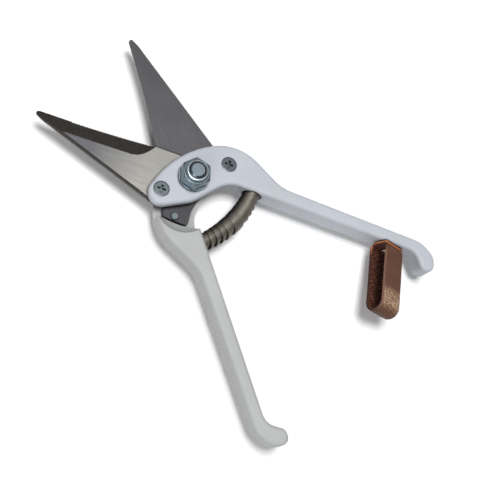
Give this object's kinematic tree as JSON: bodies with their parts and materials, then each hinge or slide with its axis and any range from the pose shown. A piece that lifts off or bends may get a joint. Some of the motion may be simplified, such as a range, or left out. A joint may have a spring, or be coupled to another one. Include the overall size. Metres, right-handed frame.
{
  "type": "floral snips",
  "caption": "Floral snips with bowed cast handles, a fine-toothed blade and a plain blade on a bolted pivot, a volute return spring and a leather closing strap.",
  "frame": {"origin": "centre of the bolt head's outer face, which the tool rests on; the pivot axis is the Z axis", "axes": "+Z from the bolt head to the nut, +X between the open blade tips, +Y towards the tip of the blade nearer the nut"},
  "size_m": [0.1898, 0.132, 0.0274],
  "materials": {
    "cast_paint": "white-grey paint on cast aluminium, slightly glossy",
    "blade_steel": "ground steel with a fine brushed grain",
    "zinc_steel": "bright zinc plate",
    "nylon": "dark nylon ring",
    "spring_steel": "dark tempered spring steel",
    "strap_leather": "red-brown leather, smooth outside and rough inside",
    "rivet_steel": "bright rivet"
  },
  "bodies": {
    "rear_half": {"rear_handle": "cast_paint", "rear_blade": "blade_steel", "rear_screw_tip_side": "zinc_steel", "rear_screw_grip_side": "zinc_steel", "pivot_bolt": "zinc_steel", "pivot_washer": "zinc_steel", "pivot_nut": "zinc_steel", "nut_insert": "nylon", "volute_spring": "spring_steel"},
    "front_half": {"front_handle": "cast_paint", "front_blade": "blade_steel", "front_screw_tip_side": "zinc_steel", "front_screw_grip_side": "zinc_steel", "strap_rivet": "rivet_steel"},
    "strap_root": {"strap_base": "strap_leather"},
    "strap_end": {"strap_loop": "strap_leather"}
  },
  "joints": [
    {"name": "pivot", "type": "hinge", "parent": "rear_half", "child": "front_half", "pos_m": [0, 0, 0.01145], "axis": [0, 0, -1], "range_deg": [0, 47], "stiffness_Nm_per_rad": 2.5, "springref_deg": -9.74, "deforming": ["volute_spring"]},
    {"name": "strap_swivel", "type": "hinge", "parent": "front_half", "child": "strap_root", "pos_m": [-0.09193, -0.05307, 0.01145], "axis": [-0.454, 0.891, 0], "range_deg": [-20, 60]},
    {"name": "strap_fold", "type": "hinge", "parent": "strap_root", "child": "strap_end", "pos_m": [-0.0952, -0.04912, 0.01423], "axis": [0.8261, 0.4209, 0.3746], "range_deg": [0, 47]}
  ],
  "couplings": [
    {"joint": "strap_fold", "follows": "pivot", "ratio": 1}
  ]
}
